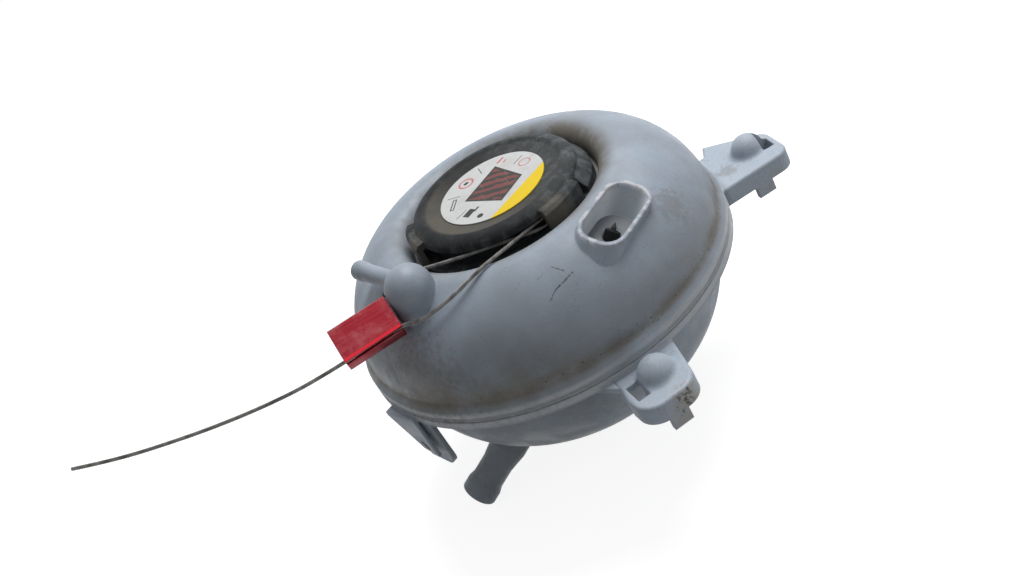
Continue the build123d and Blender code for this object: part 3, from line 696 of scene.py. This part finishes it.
# sensor socket: painted shade on its floor, painted light on its walls inside, and a chalky worn rim
def addSocketShadeLightAndWear(tree, look, here, colour):
    normal = faceNormal(tree)
    off = vectorCalc(tree, "SUBTRACT", here, look["rimCentre"])
    rise = dot(tree, off, look["rimNormal"])
    upward = dot(tree, normal, look["rimNormal"])
    inside = overlap(
        tree,
        (vectorCalc(tree, "DISTANCE", here, look["socketCentre"], out="Value"), look["socketReach"]),
        (rise, look["socketMouth"]),
        (dot(tree, normal, off), look["socketFacing"]),
    )
    # painted shade on the socket's floor, then painted light on its inner walls
    floor = product(tree, inside, ease(tree, upward, *look["socketShadeSpan"]))
    colour = blend(tree, floor, colour, look["socketPaintedShade"])
    paintedWallLight = product(tree, inside, ease(tree, upward, *look["socketLightSpan"]))
    colour = blend(tree, paintedWallLight, colour, look["socketPaintedLight"])
    rim = overlap(
        tree,
        (rise, look["rimUnder"]),
        (rise, look["rimOver"]),
        (vectorCalc(tree, "LENGTH", off, out="Value"), look["rimReach"]),
        (noise(tree, here, look["rimWearSize"], detail=4.0), look["rimWearSpan"]),
    )
    return blend(tree, product(tree, rim, look["rimShare"]), colour, look["chalk"])


def makeTankPlastic(look):
    material, tree, shader = newMaterial("agedPolypropylene", look["shader"])
    here = place(tree)
    x, z, radius = reaches(tree, here)
    # clouds, the solid ears paler than the thin wall, and a fine mottle
    clouds = ease(tree, noise(tree, here, look["cloudSize"], detail=5.0), *look["cloudSpan"])
    colour = blend(tree, clouds, look["dull"], look["pale"])
    ears = product(tree, ease(tree, radius, *look["earSpan"]), look["earShare"])
    colour = blend(tree, ears, colour, look["thick"])
    mottle = ease(tree, noise(tree, here, look["mottleSize"], roughness=0.7), *look["mottleSpan"])
    colour = blend(tree, product(tree, mottle, look["mottleShare"]), colour, look["dull"])
    # pale pressed-out weld and the edges of the flanges: partly its own whitish flash, partly painted light
    # against the shade of its groove
    weldPaleAndLight = overlap(
        tree,
        (radius, look["weldInner"]),
        (radius, look["weldOuter"]),
        (z, look["weldTop"]),
        (z, look["weldFoot"]),
    )
    colour = blend(tree, product(tree, weldPaleAndLight, look["weldPaleAndLightShare"]), colour, look["chalk"])
    # brown film in the crease above the weld, and on the seat round the cap
    film = grimeFilm(tree, here, look["filmSize"], look["filmCover"])
    crease = overlap(tree, (z, look["creaseTop"]), (z, look["creaseFoot"]))
    seat = overlap(tree, (radius, look["seatReach"]), (z, look["seatRise"]))
    seat = product(tree, seat, scaled(tree, ease(tree, x, *look["seatRight"]), *look["seatShare"]))
    dirty = calc(tree, "MAXIMUM", product(tree, crease, look["creaseShare"]), seat)
    patchy = scaled(tree, film, *look["filmShare"])
    colour = blend(tree, calc(tree, "MULTIPLY", dirty, patchy, clamp=True), colour, look["film"])
    # darker in uneven patches low on the dome, more on the left
    lowDarkPatches = grimeFilm(tree, here, look["lowDarkSize"], look["lowDarkCover"])
    low = overlap(tree, (z, look["lowDarkTop"]), (z, look["lowDarkFoot"]))
    left = ease(tree, dot(tree, here, look["leftward"]), *look["lowDarkLeft"])
    lowDarkening = product(tree, low, lowDarkPatches, scaled(tree, left, *look["lowDarkShare"]))
    colour = blend(tree, lowDarkening, colour, look["film"])
    colour = addSpots(tree, look, here, colour)
    colour = addSocketShadeLightAndWear(tree, look, here, colour)
    # specks all over, more of them in the crease, then pale edges, partly rubbed wear and partly painted
    # highlight, and hair marks
    specks = fromGroup(tree, "grime", {"Place": here, "Size": look["speckSize"]}, "Specks")
    colour = blend(tree, product(tree, specks, look["speckShare"]), colour, look["speck"])
    gathered = ease(tree, noise(tree, here, look["gatheredSize"]), *look["gatheredSpan"])
    colour = blend(tree, product(tree, gathered, crease, look["gatheredShare"]), colour, look["speck"])
    edges = roundedEdgeMask(tree, look["edgeRoundRadius"], look["wearAndHighlightSpan"])
    wearAndHighlight = product(tree, edges, ease(tree, radius, *look["wearAndHighlightReach"]), look["wearAndHighlightShare"])
    colour = blend(tree, wearAndHighlight, colour, look["chalk"])
    for start, end, share in look["hairs"]:
        inputs = {"Place": here, "Start": start, "End": end, "Width": look["hairWidth"]}
        hair = fromGroup(tree, "hairMark", inputs, "Mask")
        colour = blend(tree, product(tree, hair, share), colour, look["speck"])
    joinShader(tree, shader, look, colour, moulded(tree, here, look["grain"]), spread=film)
    return material


# cap: black plastic under grey dust and scuffs, tan in the dish round the label and on two facets
capPlastic = {
    "black": (0.013, 0.014, 0.015),
    "dust": (0.016, 0.017, 0.018),
    "scuff": (0.150, 0.166, 0.174),
    "tan": (0.140, 0.127, 0.106),
    "shader": {"Specular IOR Level": 0.1},
    "roughness": (0.25, 0.5),
    "grain": 1300.0,
    "bump": (0.0002, 0.35, 0.0008),
    "filmSize": 70.0,
    "filmCover": 0.52,
    "topSpan": (0.0330, 0.0425),
    "streakDraw": (1.0, 1.0, 0.2),  # drawn out along Z
    "streakSize": 240.0,
    "streakSpan": (0.46, 0.68),
    "skirtSpan": (0.0325, 0.0345),
    "skirtShare": 0.4,
    "scuffSize": 170.0,
    "scuffSpan": (0.46, 0.68),
    "scuffShare": (0.50, 0.25),
    "rightSpan": (-0.010, 0.030),
    "rightShare": (0.70, 0.18),
    "dishInner": (0.0210, 0.0222),
    "dishOuter": (0.0288, 0.0268),
    "dishRise": (0.0400, 0.0412),
    "dishShare": (0.35, 0.42),
    "leftward": (-0.87, -0.5, 0.0),
    "leftSpan": (-0.004, 0.022),
    "leftShare": (0.85, 0.1),
    "ragged": 0.8,
    "spots": [  # centre, radius, colour, share, speckled or even
        ((0.0152, -0.0326, 0.0370), 0.0090, "tan", 0.75, False),
        ((-0.0355, -0.0063, 0.0365), 0.0085, "tan", 0.7, False),
    ],
}


def makeCapPlastic(look):
    material, tree, shader = newMaterial("dustyCapPlastic", look["shader"])
    here = place(tree)
    x, z, radius = reaches(tree, here)
    film = grimeFilm(tree, here, look["filmSize"], look["filmCover"])
    dusty = product(tree, film, ease(tree, z, *look["topSpan"]))
    colour = blend(tree, dusty, look["black"], look["dust"])
    # streaks down the skirt
    drawn = vectorCalc(tree, "MULTIPLY", here, look["streakDraw"])
    streaks = noise(tree, drawn, look["streakSize"], detail=4.0)
    skirt = overlap(tree, (streaks, look["streakSpan"]), (radius, look["skirtSpan"]))
    colour = blend(tree, product(tree, skirt, look["skirtShare"]), colour, look["scuff"])
    # pale scuffs, most of them on the right
    scuffs = noise(tree, here, look["scuffSize"], detail=8.0, roughness=0.72)
    scuffs = scaled(tree, ease(tree, scuffs, *look["scuffSpan"]), *look["scuffShare"])
    right = scaled(tree, ease(tree, x, *look["rightSpan"]), *look["rightShare"])
    colour = blend(tree, product(tree, scuffs, right), colour, look["scuff"])
    # tan dust in the dish, most of it on the left
    dish = overlap(tree, (radius, look["dishInner"]), (radius, look["dishOuter"]), (z, look["dishRise"]))
    left = ease(tree, dot(tree, here, look["leftward"]), *look["leftSpan"])
    left = scaled(tree, left, *look["leftShare"])
    dish = product(tree, dish, left, scaled(tree, film, *look["dishShare"]))
    colour = blend(tree, dish, colour, look["tan"])
    colour = addSpots(tree, look, here, colour)
    joinShader(tree, shader, look, colour, moulded(tree, here, look["grain"]), spread=film)
    return material


# label: a plain print of fields and small shapes on a white disc
labelPrint = {
    "white": (0.575, 0.585, 0.585),
    "grubby": (0.36, 0.34, 0.30),
    "yellow": (0.76, 0.54, 0.01),
    "dark": (0.030, 0.030, 0.028),
    "brown": (0.165, 0.050, 0.045),
    "red": (0.50, 0.06, 0.07),
    "scuff": (0.45, 0.43, 0.39),
    "shader": {"Roughness": 0.5, "Specular IOR Level": 0.2},
    "grain": 1600.0,
    "bump": (0.0001, 0.2, 0.0001),
    "filmSize": 160.0,
    "filmCover": 0.42,
    "filmShare": 0.3,
    "edge": 0.0001,
    "slant": 0.56,  # the print's own line, as an angle from X
    "chord": 0.0140,
    "panel": [(-0.0116, 0.0009), (0.0055, 0.0136), (0.0122, -0.0035), (0.0004, -0.0131)],
    "panelMargin": 0.0010,
    "bandTurn": 0.5,  # from the slant
    "bandSize": 160.0,
    "bandSway": 0.004,
    "bandRate": 1500.0,  # radians to the metre
    "bandSpan": (-0.4, 0.2),
    "dividers": (31.5, 91.5, 151.5, 204.5),  # degrees
    "dividerRadius": 0.0165,
    "dividerHalf": (0.0026, 0.0),
    "dividerCorner": 0.00018,
    "rings": [  # radius and degrees of the centre, outer radius, wall
        (0.0152, 120, 0.0033, 0.0008),
        (0.0163, 16, 0.0026, 0.0005),
    ],
    "ringShare": 0.8,
    "marks": [  # radius and degrees of the centre, turn from the slant, half size, corner, colour
        (0.0152, 120, -0.26, (0.0007, 0.0005), 0.0003, "dark"),
        (0.0178, 62, 0.0, (0.0018, 0.0002), 0.0002, "red"),
        (0.0166, 54, 0.0, (0.0008, 0.0001), 0.0002, "red"),
        (0.0162, 170, 0.54, (0.0034, 0.0007), 0.0002, "dark"),
        (0.0152, 216, 0.0, (0.0021, 0.0013), 0.0003, "dark"),
        (0.0128, 224, 0.0, (0.0012, 0.0003), 0.0002, "dark"),
        (0.0175, 238, 0.0, (0.0, 0.0), 0.0013, "dark"),
        (0.0162, 170, 0.54, (0.0030, 0.0003), 0.0001, "white"),
    ],
    "scuffDraw": (900.0, 90.0, 90.0),
    "scuffSpan": (0.60, 0.70),
    "scuffShare": 0.12,
}


# a point of the label by its radius and angle
def polar(radius, degrees):
    return radius * np.cos(np.radians(degrees)), radius * np.sin(np.radians(degrees))


# one printed shape on the label
def printShape(tree, here, centre, turn, half, corner):
    inputs = {"Place": here, "Centre": (*centre, 0.0), "Turn": turn, "Half": (*half, 1.0), "Corner": corner}
    return fromGroup(tree, "printShape", inputs, "Mask")


# inside of a four-sided panel: the product of a step across each of its sides, set in by a margin
def printPanel(tree, here, corners, margin, edge):
    steps = []
    for start, end in zip(corners, corners[1:] + corners[:1]):
        inward = np.array([end[1] - start[1], start[0] - end[0], 0.0])
        inward /= np.linalg.norm(inward)
        line = start[0] * inward[0] + start[1] * inward[1] + margin
        steps.append(ease(tree, dot(tree, here, inward), line - edge, line + edge))
    return product(tree, *steps)


def makeLabelPrint(look):
    material, tree, shader = newMaterial("labelPrint", look["shader"])
    here = place(tree)
    slant, edge, chord = look["slant"], look["edge"], look["chord"]
    film = grimeFilm(tree, here, look["filmSize"], look["filmCover"])
    colour = blend(tree, product(tree, film, look["filmShare"]), look["white"], look["grubby"])
    # yellow field beyond a chord
    down = dot(tree, here, (np.sin(slant), -np.cos(slant), 0.0))
    colour = blend(tree, ease(tree, down, chord - edge, chord + edge), colour, look["yellow"])
    # dark panel with wavering brown bands on it, by the sine of the distance across them
    turn = slant + look["bandTurn"]
    across = dot(tree, here, (np.cos(turn), np.sin(turn), 0.0))
    sway = scaled(tree, noise(tree, here, look["bandSize"], detail=2.0), look["bandSway"], across)
    bands = ease(tree, calc(tree, "SINE", product(tree, sway, look["bandRate"])), *look["bandSpan"])
    inner = printPanel(tree, here, look["panel"], look["panelMargin"], edge)
    field = blend(tree, product(tree, bands, inner), look["dark"], look["brown"])
    colour = blend(tree, printPanel(tree, here, look["panel"], 0.0, edge), colour, field)
    # thin dividers that point outwards, away from the yellow field
    for degrees in look["dividers"]:
        centre = polar(look["dividerRadius"], degrees)
        half, corner = look["dividerHalf"], look["dividerCorner"]
        bar = printShape(tree, here, centre, np.radians(degrees), half, corner)
        colour = blend(tree, bar, colour, look["dark"])
    # small marks between the dividers: rings, bars and dots
    for radius, degrees, outer, wall in look["rings"]:
        centre, sizes = polar(radius, degrees), (outer, outer - wall)
        discs = [printShape(tree, here, centre, 0.0, (0.0, 0.0), size) for size in sizes]
        ring = product(tree, calc(tree, "SUBTRACT", *discs), look["ringShare"])
        colour = blend(tree, ring, colour, look["red"])
    for radius, degrees, turn, half, corner, paint in look["marks"]:
        mark = printShape(tree, here, polar(radius, degrees), slant + turn, half, corner)
        colour = blend(tree, mark, colour, look[paint])
    drawn = vectorCalc(tree, "MULTIPLY", here, look["scuffDraw"])
    scuff = ease(tree, noise(tree, drawn, 1.0), *look["scuffSpan"])
    colour = blend(tree, product(tree, scuff, look["scuffShare"]), colour, look["scuff"])
    joinShader(tree, shader, look, colour, moulded(tree, here, look["grain"]))
    return material


# red anodised block: drawn grain along its length, paler scuffs, and a painted highlight on the long chamfer
blockFinish = {
    "red": (0.29, 0.022, 0.034),
    "deep": (0.235, 0.014, 0.024),
    "scuff": (0.36, 0.115, 0.12),
    # painted highlight colour for the long chamfer
    "edge": (0.74, 0.03, 0.05),
    "shader": {"Metallic": 0.8, "Specular IOR Level": 0.3},
    "roughness": (0.15, 0.28),
    "bump": (0.0001, 0.2, 0.0006),
    "grainDraw": (30.0, 900.0, 900.0),  # drawn out along X
    "grainSpan": (0.3, 0.7),
    "filmSize": 150.0,
    "filmCover": 0.48,
    "filmShare": 0.55,
    "chamferHighlightNormal": (0.08, -0.97, 0.24),  # the long chamfer towards the front
    "edgeSpan": (0.95, 0.99),
}


def makeBlockFinish(look):
    material, tree, shader = newMaterial("redAnodised", look["shader"])
    here = place(tree)
    grain = noise(tree, vectorCalc(tree, "MULTIPLY", here, look["grainDraw"]), 1.0, detail=4.0)
    colour = blend(tree, ease(tree, grain, *look["grainSpan"]), look["deep"], look["red"])
    film = grimeFilm(tree, here, look["filmSize"], look["filmCover"])
    colour = blend(tree, product(tree, film, look["filmShare"]), colour, look["scuff"])
    # painted highlight where a face leans like the long chamfer
    chamferHighlightFacing = dot(tree, faceNormal(tree), look["chamferHighlightNormal"])
    colour = blend(tree, ease(tree, chamferHighlightFacing, *look["edgeSpan"]), colour, look["edge"])
    joinShader(tree, shader, look, colour, grain, spread=grain)
    return material


# metals, rubber and hidden mouldings: two tones by noise, with a fine grain
plainFinishes = {
    "steelStrand": {
        "dark": (0.07, 0.068, 0.064),
        "light": (0.19, 0.186, 0.178),
        "size": 260.0,
        "grain": 2500.0,
        "roughness": (0.15, 0.36),
        "shader": {"Metallic": 0.85},
    },
    "contactSteel": {
        "dark": (0.03, 0.03, 0.029),
        "light": (0.09, 0.088, 0.085),
        "size": 300.0,
        "grain": 2000.0,
        "roughness": (0.2, 0.4),
        "shader": {"Metallic": 0.8},
    },
    "springSteel": {
        "dark": (0.35, 0.35, 0.35),
        "light": (0.58, 0.58, 0.57),
        "size": 200.0,
        "grain": 2500.0,
        "roughness": (0.15, 0.28),
        "shader": {"Metallic": 1.0},
    },
    "sealRubber": {
        "dark": (0.008, 0.008, 0.008),
        "light": (0.018, 0.018, 0.018),
        "size": 120.0,
        "grain": 1800.0,
        "roughness": (0.15, 0.7),
        "shader": {"Specular IOR Level": 0.12},
    },
    "insertPlastic": {
        "dark": (0.055, 0.056, 0.060),
        "light": (0.095, 0.096, 0.100),
        "size": 70.0,
        "grain": 1200.0,
        "roughness": (0.15, 0.42),
        "shader": {"Specular IOR Level": 0.4},
    },
}
plainSurface = {"toneSpan": (0.3, 0.7), "bump": (0.0001, 0.25, 0.0001)}  # the same for all of them


def makePlainFinish(name, look):
    material, tree, shader = newMaterial(name, look["shader"])
    here = place(tree)
    tone = ease(tree, noise(tree, here, look["size"], detail=4.0), *look["toneSpan"])
    colour = blend(tree, tone, look["dark"], look["light"])
    joinShader(tree, shader, look, colour, moulded(tree, here, look["grain"]), spread=tone)
    return material


finishes = {
    "tank": makeTankPlastic(tankPlastic),
    "cap": makeCapPlastic(capPlastic),
    "label": makeLabelPrint(labelPrint),
    "block": makeBlockFinish(blockFinish),
    **{name: makePlainFinish(name, {**plainSurface, **look}) for name, look in plainFinishes.items()},
}
nodeFinish = {
    "tank": ["upper_shell", "lower_shell"],
    "cap": ["cap_cover"],
    "label": ["cap_label"],
    "block": ["seal_block"],
    "steelStrand": ["seal_loop", "seal_tail"],
    "contactSteel": ["contact_pin_1", "contact_pin_2"],
    "springSteel": ["relief_spring", "vacuum_spring", "vacuum_clip"],
    "sealRubber": [
        "contact_sleeve_1",
        "contact_sleeve_2",
        "upper_sealing_ring",
        "lower_sealing_ring",
        "piston_seal",
        "vacuum_seal",
    ],
    "insertPlastic": ["valve_housing", "spring_retainer", "relief_piston", "vacuum_valve"],
}
for finish, names in nodeFinish.items():
    for name in names:
        for slot in nodes[name].material_slots:
            slot.material = finishes[finish]
for rope in (loopRope, tailRope):
    rope.data.materials.append(finishes["steelStrand"])
flashRing.data.materials.append(finishes["tank"])
for piece in springPieces:
    piece.data.materials.append(finishes["springSteel"])
print("finishes on", sum(len(names) for names in nodeFinish.values()), "nodes")

# studio: a pale floor under the tank, a large soft lamp behind it to the right, a weak one at the front right
studio = {
    "floorReach": 6.0,
    "floorGap": 0.0003,
    "floorColour": (0.42, 0.42, 0.42),
    "floorLift": 0.86,  # seen by the camera, so that the floor reads as white
    "ambient": 0.24,
    "lamps": [  # place, size, watts
        ((0.36, 0.36, 0.86), 0.80, 10.5),
        ((0.85, -0.50, 0.38), 0.60, 1.0),
    ],
}


# 1 for rays from the camera, from gloss or through clear things, and 0 for the light that falls on surfaces
def seenRay(tree):
    path = addNode(tree, "ShaderNodeLightPath").outputs
    gloss = calc(tree, "MAXIMUM", path["Is Glossy Ray"], path["Is Transmission Ray"])
    return calc(tree, "MAXIMUM", path["Is Camera Ray"], gloss)


# matt floor just below the tank, with a glow of its own for the rays that are seen
def addFloor(look):
    reach = look["floorReach"]
    corners = [(-reach, -reach), (reach, -reach), (reach, reach), (-reach, reach)]
    mesh = bpy.data.meshes.new("floor")
    mesh.from_pydata([(x, y, cadBox[0][2] - look["floorGap"]) for x, y in corners], [], [(0, 1, 2, 3)])
    material = bpy.data.materials.new("paleFloor")
    material.use_nodes = True
    tree = material.node_tree
    tree.nodes.clear()
    matt = addNode(tree, "ShaderNodeBsdfDiffuse", {"Color": (*look["floorColour"], 1.0)})
    lift = product(tree, seenRay(tree), look["floorLift"])
    glow = addNode(tree, "ShaderNodeEmission", {"Strength": lift})
    both = addNode(tree, "ShaderNodeAddShader", {0: matt.outputs[0], 1: glow.outputs[0]})
    addNode(tree, "ShaderNodeOutputMaterial", {"Surface": both.outputs[0]})
    mesh.materials.append(material)
    floor = bpy.data.objects.new("floor", mesh)
    scene.collection.objects.link(floor)


# world that is seen as white and lights the scene with the ambient share of that
def addWorld(look):
    world = bpy.data.worlds.new("studio")
    world.use_nodes = True
    tree = world.node_tree
    level = scaled(tree, seenRay(tree), 1.0 - look["ambient"], look["ambient"])
    tree.nodes["Background"].inputs["Color"].default_value = (1.0, 1.0, 1.0, 1.0)
    tree.links.new(level, tree.nodes["Background"].inputs["Strength"])
    scene.world = world


# round lamps that face the origin
def addLamps(look):
    for number, (spot, size, watts) in enumerate(look["lamps"], start=1):
        data = bpy.data.lights.new(f"lamp{number}", "AREA")
        data.shape = "DISK"
        data.size = size
        data.energy = watts
        lamp = bpy.data.objects.new(f"lamp{number}", data)
        lamp.location = spot
        lamp.rotation_euler = (-Vector(spot)).to_track_quat("-Z", "Y").to_euler()
        scene.collection.objects.link(lamp)


addFloor(studio)
addWorld(studio)
addLamps(studio)
print("studio set")
